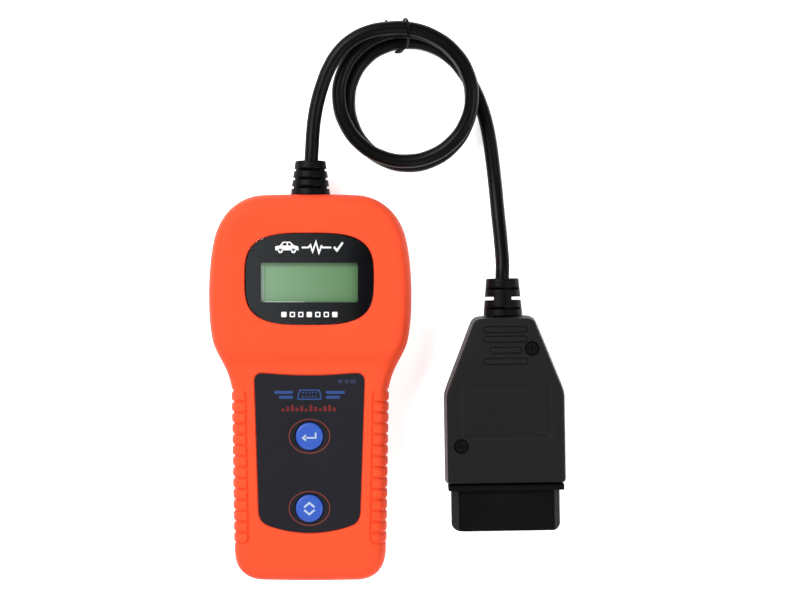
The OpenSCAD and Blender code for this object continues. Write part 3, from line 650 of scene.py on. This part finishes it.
skin = Skin()
rim, face = cover_side(skin, front_z)
lens_well = skin.walls(grown(lens_loop, WELL_GAP), fillet(0.3, HEAD_T, 1) + [(0, MASK_Z)])
keypad_well = skin.walls(grown(overlay_loop, WELL_GAP), fillet(0.25, GRIP_T, 1, 3) + [(0, FILM_SEAT)])
step_rows = np.arange(STEP_LO - 1, STEP_HI + 1.01, 0.55)
skin.fill(face, [lens_well[0], keypad_well[0]], front_z, 2.4, step_rows)
window_hole = skin.walls(rounded(WINDOW_W + 2.4, WINDOW_H + 2.4, 0.6, WINDOW_AT),
                         [(0, MASK_Z), (0, HEAD_CEILING)])
skin.fill(lens_well[1], [window_hole[0]])
key_holes = [
    skin.walls(circle(KEY_HOLE_R, (0, y)), [(0, FILM_SEAT), (0, GRIP_CEILING)])
    for y in (ENTER_Y, SCROLL_Y)
]
skin.fill(keypad_well[1], [h[0] for h in key_holes])
inner = skin.bands([
    skin.ring(grown(coarse_case, -i), SEAM_Z + s * (ceiling_z(*grown(coarse_case, -i).T) - SEAM_Z))
    for i, s in ((2, 0), (2.2, 0.35), (2.8, 0.7), (3.9, 0.92), (5.6, 1))
])
skin.fill(inner[1], [window_hole[1], *(h[1] for h in key_holes)], ceiling_z, 5)
skin.fill(rim, [inner[0]])
front_case = piece("front_case", skin, ORANGE, "handset", ("front_cover",))

skin = Skin()
rim, face = cover_side(skin, flat(0))
case_screws = [(25.5, 59), (-25.5, 59), (21, -62), (-21, -62)]
lip = skin.bands([skin.ring(grown(coarse_case, -i), z) for i, z in (
    (2.3, SEAM_Z), (2.3, SEAM_Z + 1.4), (3.1, SEAM_Z + 1.4), (3.1, 9), (2.3, 8.4), (2.5, 6.4), (3.1, 3.8),
    (3.7, 2.5), (4.2, 2))])
skin.fill(rim, [lip[0]])
skin.fill(face, (), flat(0), 6)
skin.fill(lip[1])
rear_case = piece("rear_case", skin, ORANGE, "handset", ("rear_cover",))
bosses, wells = Skin(), Skin()
for at in case_screws:
    lathe([(4.2, 1.5), (4.2, SEAM_Z)], at, 40, bosses)
    lathe([(3.7, -0.3), (3.4, 0), (3.1, 0.3), (3.1, 6), (1.6, 6), (1.6, SEAM_Z + 1)], at, 40, wells)
carve(rear_case, bosses, "UNION")
carve(rear_case, wells)


def boot_way(y, z, r=5.15):
    """The round way that a boot's neck takes through an end wall."""
    made = lathe([(r, y - 8), (r, y + 4)], (0, 0), 48)
    made.points = [(x, h, y0 + z) for x, y0, h in made.points]
    return made


for cover in (front_case, rear_case):
    carve(cover, boot_way(half_len, SEAM_Z))


# ---------- lens ----------

MASK_T, INK = 0.07, 0.02         # thickness of the mask and of printed marks
skin = Skin()
plate(skin, lens_loop, MASK_Z + 0.1, HEAD_T, r=0.2)
piece("lens", skin, LENS, "handset", ("display_lens",))
skin = Skin()
plate(skin, lens_loop, MASK_Z, MASK_Z + MASK_T, [rounded(WINDOW_W, WINDOW_H, 0.5, WINDOW_AT)])
piece("lens_mask", skin, MASK, "handset", ("display_mask",))


def prints(name, material, shapes, z, body="handset"):
    """Thin printed shapes, each (outline, holes), on a level face."""
    made = Skin()
    for outline, holes in shapes:
        plate(made, outline, z, z + INK, holes)
    return piece(name, made, material, body)


def shift(points, dx, dy):
    return np.array(points, float) + [dx, dy]


# A painted highlight: a pale strip laid on the display's glass along its left and its foot, standing in for
# light on its edge.
GLASS_TOP = 21.6
window_corner, edge_h = (WINDOW_AT[0] - WINDOW_W / 2, WINDOW_AT[1] - WINDOW_H / 2), WINDOW_H - 1
glass_edge_highlight = [(-0.5, -0.5), (16, -0.5), (16, 0.25), (1.1, 0.45), (0.9, edge_h), (-0.5, edge_h)]
prints("lcd_edge_highlight", LCD_EDGE_HIGHLIGHT, [(shift(glass_edge_highlight, *window_corner), [])], GLASS_TOP)

# Under the lens: a car seen from the side, a trace and a tick above the window, a row of cells below it.
CAR_AT, TRACE_AT = (-8.2, 51.6), (2.6, 51.4)
CELL_PITCH, CELL_COUNT, CELL_Y = 3.1, 7, 26.9
car = [(-4.2, -1.2), (-4.3, 0.2), (-2.6, 0.5), (-1.5, 1.9), (1.2, 1.9), (2.5, 0.6), (4.1, 0.2), (4.3, -1.2)]
rear_window = [(-0.1, 0.5), (-0.1, 1.5), (-1.1, 1.5), (-1.9, 0.5)]
front_window = [(1.8, 0.5), (1.0, 1.5), (0.4, 1.5), (0.4, 0.5)]
trace = [(-5.4, 0), (-3, 0), (-2.2, 0.9), (-1.4, -1.5), (-0.2, 2.1), (0.9, -2.0), (1.8, 0.5),
         (2.3, 0), (5.4, 0)]
marks = [(shift(car, *CAR_AT), [shift(rear_window, *CAR_AT), shift(front_window, *CAR_AT)])]
for x in (-2.4, 2.4):
    hub = (x + CAR_AT[0], CAR_AT[1] - 1.4)
    marks.append((circle(0.85, hub, 24), [circle(0.35, hub, 16)]))
marks.append((stroke(shift(trace, *TRACE_AT), 0.6)[0], []))
marks.append((stroke([(9.0, 51.6), (10.1, 50.3), (12.2, 53.2)], 0.75)[0], []))
for i in range(CELL_COUNT):
    cell = (CELL_PITCH * (i - (CELL_COUNT - 1) / 2), CELL_Y)
    marks.append((rounded(1.9, 1.9, 0.3, cell, 0.6), [rounded(1.1, 1.1, 0.2, cell, 0.6)] if i % 3 else []))
prints("lens_marks", WHITE, marks, MASK_Z + MASK_T)


# ---------- keypad ----------

OVERLAY_TOP = 22.35
skin = Skin()
plate(skin, grown(overlay_loop, -0.12), FILM_SEAT, OVERLAY_TOP,
      [circle(KEY_HOLE_R, (0, y)) for y in (ENTER_Y, SCROLL_Y)], r=0.12, gap=5)
piece("keypad_film", skin, FILM, "handset", ("keypad_overlay",))


def bar(x0, x1, y, h):
    """A printed bar with rounded corners, as a shape for prints."""
    return rounded(x1 - x0, h, min(0.5, h * 0.45), ((x0 + x1) / 2, y), 1.0), []


# A plug's face between two pairs of bars, a row of level bars, three small bars in the corner and two rings.
PICTURE_Y = -2.4
d_shape = [(-4.1, -1.7), (4.1, -1.7), (4.1, -0.1), (3.5, 1.6), (-3.5, 1.6), (-4.1, -0.1)]
plug_face = sorted(stroke(shift(d_shape, 0, PICTURE_Y), 0.5, closed=True), key=np.ptp, reverse=True)
pins = [
    (rounded(0.55, 0.55, 0.1, (x, y + PICTURE_Y), 0.4), [])
    for x in (-2.4, -1.2, 0, 1.2, 2.4)
    for y in (-0.75, 0.65)
]
side_bars = [bar(*ends, y, 1.1) for ends, y in (
    ((-13, -6), -1.6), ((-11.2, -6), -3.4), ((6, 13), -1.6), ((6, 11.2), -3.4))]
prints("keypad_heading", HEAD_BLUE, [(plug_face[0], [plug_face[1]]), *pins, *side_bars], OVERLAY_TOP)

LEVEL_PITCH, LEVEL_W, LEVEL_FOOT = 1.7, 1.1, -8.65
levels = (1.2, 1.9, 2.5, 1.5, 2.2, 1.1, 2.5, 1.8, 1.2, 2.1, 2.5, 1.6)
level_bars = []
for i, h in enumerate(levels):
    x = -10.2 + LEVEL_PITCH * i
    level_bars.append(bar(x, x + LEVEL_W, LEVEL_FOOT + h / 2, h))
prints("keypad_levels", RED, level_bars, OVERLAY_TOP)
corner = [bar(*ends, 2.4, 1.4) for ends in ((10.4, 12.2), (12.8, 14.3), (14.9, 17.1))]
prints("keypad_corner_mark", DIM_BLUE, corner, OVERLAY_TOP)

RING_RX, RING_RY, RING_LINE = 7.45, 6.2, 0.34
prints("keypad_rings", RING, [
    (ellipse(RING_RX + RING_LINE / 2, RING_RY + RING_LINE / 2, (0, y)),
     [ellipse(RING_RX - RING_LINE / 2, RING_RY - RING_LINE / 2, (0, y))])
    for y in (ENTER_Y, SCROLL_Y)
], OVERLAY_TOP)

KEY_TOP = 23.4
ICON_Z = KEY_TOP - 0.01


def key(name, y, node, body):
    """A key cap: its stem, the flange that holds it in, and its rounded head."""
    stem = [(2.0, 15.0), (2.0, 19.1)]
    flange = [(6.6, 19.1), (6.6, 20.3)]
    head = [(KEY_R, 20.3), (KEY_R, 22.5), (KEY_R - 0.03, 22.8), (KEY_R - 0.12, 23.02), (KEY_R - 0.28, 23.2),
            (KEY_R - 0.5, 23.3), (KEY_R - 0.85, 23.36), (3.2, KEY_TOP)]
    return piece(name, lathe(stem + flange + head, (0, y), 64), BLUE, body, (node,), sharp=40)


key("enter_cap", ENTER_Y, "enter_button", "enter_key")
key("scroll_cap", SCROLL_Y, "scroll_button", "scroll_key")
arrow_shaft = stroke([(2.3, 1.4), (2.3, -0.5), (-1.6, -0.5)], 0.6)[0]
arrow_head = [(-1.2, 0.8), (-2.9, -0.5), (-1.2, -1.8)]
prints("enter_icon", PALE, [(shift(a, 0, ENTER_Y), []) for a in (arrow_shaft, arrow_head)],
       ICON_Z, "enter_key")
chevrons = [stroke([(-1.9, 0.5 * s), (0, 2.1 * s), (1.9, 0.5 * s)], 0.7)[0] for s in (1, -1)]
prints("scroll_icon", PALE, [(shift(c, 0, SCROLL_Y), []) for c in chevrons], ICON_Z, "scroll_key")


# ---------- boots ----------

END_R = 0.5                      # how far a boot's end is rounded
BEVEL_W, BEVEL_H = 0.22, 0.1     # the bevelled edges of its slots


def boot(name, node, length, r0, r1, slots, tail, move):
    """A moulded strain relief along +Y, its radius r0 at the wall and r1 at its rounded end.

    Each slot is (place, width, depth, arcs), an arc being (middle, half width) in degrees. tail is the
    profile, as (y, radius), of the part that is held inside the wall.
    """
    angle = np.arange(0, 360, 4)
    ys = [0, 0.12]
    for at, width, _, _ in slots:
        for s, d in ((-1, BEVEL_W), (-1, 0.06), (-1, 0), (1, 0), (1, 0.06), (1, BEVEL_W)):
            ys.append(at + s * (width / 2 + d))
    ys = sorted(ys + list(np.arange(0.6, length - 0.7, 0.6)))
    ys += [length - d for d in (END_R, END_R / 2, 0.08, 0)]
    rings = []
    for y in ys:
        r = np.full(len(angle), r0 + (r1 - r0) * y / length)
        end = length - y
        if end < END_R:
            r -= END_R - math.sqrt(max(0, END_R ** 2 - (END_R - end) ** 2))
        for at, width, depth, arcs in slots:
            into = abs(y - at) - width / 2
            share = 1.0 if into <= 0.001 else 0.0
            bevel = BEVEL_H * (1 - min(1, into / BEVEL_W)) if into > 0 else 0
            for middle, half in arcs:
                off = np.abs((angle - middle + 180) % 360 - 180)
                r -= (share * depth + bevel) * smooth((half + 4 - off) / 8)
        rings.append((y, r))
    bore = LEAD_R + 0.03
    rings += [(y, np.full(len(angle), r)) for y, r in [(length, bore), (length - 6, bore), *tail]]
    made = Skin()
    a = np.radians(angle)
    made.tube([np.column_stack([r * np.sin(a), np.full(len(a), y), r * np.cos(a)]) for y, r in rings])
    return piece(name, made, RUBBER, "handset", (node,), move=move)


front_back, sides = [(0, 40), (180, 40)], [(90, 24), (270, 24)]
boot("lead_boot", "handset_boot", 12.4, 7.3, 5.6,
     [(y, 0.8, 2.4, front_back + sides) for y in (2.5, 5.7, 9.0)],
     [(5, 1.4), (-6.3, 1.4), (-6.3, 3.2), (-4.4, 3.2), (-4.4, 6.8), (-2.3, 6.8), (-2.3, 5.0), (0, 5.0)],
     lambda p: p + [0, half_len, SEAM_Z])
wide_front_back, wide_sides = [(0, 62), (180, 62)], [(90, 60), (270, 60)]
boot("plug_lead_boot", "plug_boot", 13.7, 7.2, 6.0,
     [(2.6, 0.75, 2.3, wide_front_back), (6.3, 1.1, 3.3, wide_sides), (9.9, 0.75, 2.3, wide_front_back)],
     [(5, 1.4), (-6, 1.4), (-6, 3), (-4.4, 3), (-4.4, 6), (-2.4, 6), (-2.4, 4), (0, 4)],
     lambda p: on_plug(p + [0, plug_end, PLUG_MID]))


# ---------- tie ----------

TIE_R = 0.52
tie_route = [
    (31.8, 124.8, 7.8), (33.2, 125.2, 7.4), (35.2, 126.3, 8.4), (36.1, 128.2, 11.2), (36.3, 130.2, 14.3),
    (36.3, 132.4, 15.9), (36, 134.8, 15.2), (35.2, 136.2, 12.8), (34.6, 136, 10), (34.8, 135, 7),
    (35.3, 133.4, 4), (35.4, 131.4, 1.4), (35.2, 129, 0.55), (34.6, 126.8, 1), (33.8, 125.4, 2.8),
    (33, 124.7, 5), (31.6, 124.5, 7.2),
]
tie_tail = [(35, 135.0, 9.6), (32.5, 134.8, 9.3), (30, 134.5, 9.3), (28.5, 135.1, 9.6), (27.8, 136.1, 10)]
placed(wire("tie", [tie_route, tie_tail], TIE_R, TIE, 3), "handset", ("twist_tie",))


# ---------- plug ----------

CORNER = 1.9                     # radius of the shells' corners at the mouth end
flank = respaced(np.vstack([
    [(0, plug_end)],
    bezier((0, plug_end), (3, plug_end), (6, plug_end), (8.4, plug_end - 0.1)),
    bezier((8.4, plug_end - 0.1), (10.5, plug_end - 0.3), (11.5, plug_end - 0.9), (12.2, plug_end - 2.5)),
    bezier((plug_hw - 1.2, 1.2), (plug_hw - 0.4, -0.9), (plug_hw, -2), (plug_hw, -4.2))]), 0.9)
plug_loop = mirrored(np.vstack([
    flank,
    respaced([(plug_hw, -4.2), (plug_hw, plug_front + CORNER)], 2)[1:],
    circle(CORNER, (plug_hw - CORNER, plug_front + CORNER), 32)[:23:-1][:8],
    respaced([(plug_hw - CORNER, plug_front), (0, plug_front)], 2)[1:],
]))
# (distance in from the side, share of the height) up a shell's side: drafted wall, then a small rounded edge
plug_profile = [(0, 0.02), (0.25, 0.25), (0.5, 0.5), (0.7, 0.72), (0.86, 0.9), (0.93, 0.94), (1.05, 0.968),
                (1.2, 0.986), (1.38, 0.997), (1.6, 1)]
plug_screws = [(10, 14.3), (-16.4, -21.1)]


def hollow_loop(i):
    """The outline of the space inside a plug shell, i in from its side."""
    side = (flank - i * outward(mirrored(flank))[:len(flank)])[:-1]
    side[0] = (0, plug_end - i)
    end = plug_front + i
    return mirrored(np.vstack([side, np.linspace((plug_hw - i, -4.2), (plug_hw - i, end), 9),
                               np.linspace((plug_hw - i, end), (0, end), 7)[1:]]))


def plug_shell(made, face, floor):
    """The outside and the hollow of a plug shell, whose outer and inner faces lie at face and floor.

    Returns the outer face's ring.
    """
    outer = [made.ring(grown(plug_loop, -0.25), PLUG_MID)]
    outer += [made.ring(grown(plug_loop, -i), PLUG_MID + s * (face - PLUG_MID)) for i, s in plug_profile]
    inner = [made.ring(hollow_loop(i), z) for i, z in ((2, PLUG_MID), (2.6, floor))]
    made.bands(outer)
    made.bands(inner)
    made.fill(outer[0], [inner[0]])
    made.fill(inner[-1])
    return outer[-1]


skin = Skin()
face = plug_shell(skin, PLUG_T, PLUG_T - 2)
label = skin.walls(rounded(30.6, 18.9, 0.8, (0.5, -8.1)),
                   [(0.1, PLUG_T), (0.03, PLUG_T - 0.03), (0, PLUG_T - 0.1), (0, PLUG_T - 0.3)])
skin.fill(label[1], (), flat(PLUG_T - 0.3), 6)
openings = [label[0]]
# A groove round each bar, and the bar's own side and rounded top.
bar_steps = [(0.42, 0), (0.3, -0.35), (0.04, -0.35), (0, 0.16), (-0.04, 0.24), (-0.14, 0.3)]
for y, width in ((21.4, 15.5), (17.85, 15.5), (13.8, 11.1), (9.8, 15.5)):
    foot_ring, top_ring = skin.walls(rounded(width, 1.75, 0.8, (0.35, y), 1.0),
                                     [(g, PLUG_T + z) for g, z in bar_steps])
    openings.append(foot_ring)
    skin.fill(top_ring)
skin.fill(face, openings, flat(PLUG_T), 5)
plug_top = piece("plug_top", skin, SHELL, "handset", ("plug_top_shell",))
skin = Skin()
skin.fill(plug_shell(skin, 0, 2), (), flat(0), 6)
plug_bottom = piece("plug_bottom", skin, SHELL, "handset", ("plug_bottom_shell",))
posts, wells, feet, bores = (Skin() for _ in range(4))
for at in plug_screws:
    lathe([(4, PLUG_MID), (4, PLUG_T - 1)], at, 40, posts)
    lathe([(1.5, PLUG_MID - 1), (1.5, 21.2), (2.6, 21.2), (2.6, PLUG_T - 0.2), (2.8, PLUG_T),
           (3.2, PLUG_T + 0.4)], at, 40, wells)
    lathe([(3.4, 1), (3.4, PLUG_MID)], at, 40, feet)
    lathe([(1.25, 4), (1.25, PLUG_MID + 1)], at, 40, bores)
carve(plug_top, posts, "UNION")
carve(plug_top, wells)
carve(plug_bottom, feet, "UNION")
carve(plug_bottom, bores)
for shell in (plug_top, plug_bottom):
    carve(shell, boot_way(plug_end, PLUG_MID, 4.15))
    corners = shell.data.vertices
    turned = on_plug(np.array([v.co for v in corners]) / MM) * MM
    corners.foreach_set("co", turned.astype(np.float32).ravel())
    shell.data.update()


# ---------- frame pieces that stay ----------

STAYING = {
    "lcd_bezel": TIN, "lcd_glass": LCD, "lcd_backlight": DIFFUSER, "lcd_board": BOARD, "lcd_header": CHIP,
    "main_board": BOARD, "main_chip": CHIP, "driver_chips": CHIP, "crystal": CAN, "regulator": CHIP,
    "filter_capacitor": CAN, "wire_header": NYLON, "handset_wires": INNER_WIRE, "case_screws": STEEL,
    "board_screws": STEEL, "enter_plunger": SWITCH, "scroll_plunger": SWITCH, "enter_switch": SWITCH,
    "scroll_switch": SWITCH, "plug_housing": INSERT, "pin_retainer": INSERT, "contact_pins": GOLD,
    "plug_wires": INNER_WIRE, "plug_screws": DARK_STEEL,
}
SOFT_EDGES = {"plug_housing": 0.22, "case_screws": 0.12, "plug_screws": 0.1, "contact_pins": 0.08}
for node, material in STAYING.items():
    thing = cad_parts[node]
    thing.data.materials.clear()
    thing.data.materials.append(material)
    if node in SOFT_EDGES:
        weld = thing.modifiers.new("weld", "WELD")
        weld.merge_threshold = 1e-6
        bevel = thing.modifiers.new("bevel", "BEVEL")
        bevel.width, bevel.segments = SOFT_EDGES[node] * MM, 2
        bevel.limit_method, bevel.angle_limit = "ANGLE", math.radians(35)


# ---------- floor and light ----------

FLOOR_SIDE, FLOOR_Z = 3000, -0.02
skin = Skin()
skin.fill(skin.ring(rounded(FLOOR_SIDE, FLOOR_SIDE, 10, (30, 30), 400), FLOOR_Z))
floor = bpy.data.meshes.new("floor")
floor.from_pydata((np.array(skin.points) * MM).tolist(), [], skin.faces)
floor.materials.append(FLOOR)
ground = bpy.data.objects.new("floor", floor)
scene.collection.objects.link(ground)


def softbox(name, at, look, size, watts, height=None):
    """A rectangular lamp that faces a point, square unless height is given."""
    lamp = bpy.data.lights.new(name, "AREA")
    lamp.shape, lamp.size, lamp.size_y = "RECTANGLE", size, height or size
    lamp.energy = watts
    box = bpy.data.objects.new(name, lamp)
    box.location = at
    box.rotation_euler = (Vector(look) - Vector(at)).to_track_quat("-Z", "Y").to_euler()
    scene.collection.objects.link(box)


MIDDLE = (0.03, 0.03, 0)
softbox("key_light", (-0.85, 0.8, 1.25), MIDDLE, 0.9, 38)
softbox("fill_light", (1.15, -0.25, 1.2), MIDDLE, 1.0, 18)
softbox("low_light", (-0.1, -1.3, 1.1), MIDDLE, 1.2, 12)

# A pale screen overhead, brighter to the left, made of strips: the display's lens mirrors it.
SCREEN_Y, SCREEN_Z, SCREEN_H, SCREEN_EDGE = 0.05, 1.5, 0.8, -0.011
STRIP_W, STRIP_COUNT, STRIP_FIRST, STRIP_STEP = 0.0125, 12, 0.44, 0.105
for i in range(STRIP_COUNT):
    x = SCREEN_EDGE - (i + 0.5) * STRIP_W
    radiance = STRIP_FIRST + STRIP_STEP * i
    softbox(f"screen_light_{i}", (x, SCREEN_Y, SCREEN_Z), (x, SCREEN_Y, 0), STRIP_W,
            radiance * math.pi * STRIP_W * SCREEN_H, SCREEN_H)

world = bpy.data.worlds.new("studio")
world.use_nodes = True
background = world.node_tree.nodes["Background"]
background.inputs["Color"].default_value = (1, 1, 1, 1)
background.inputs["Strength"].default_value = 0.08
scene.world = world
scene.view_settings.view_transform = "Standard"
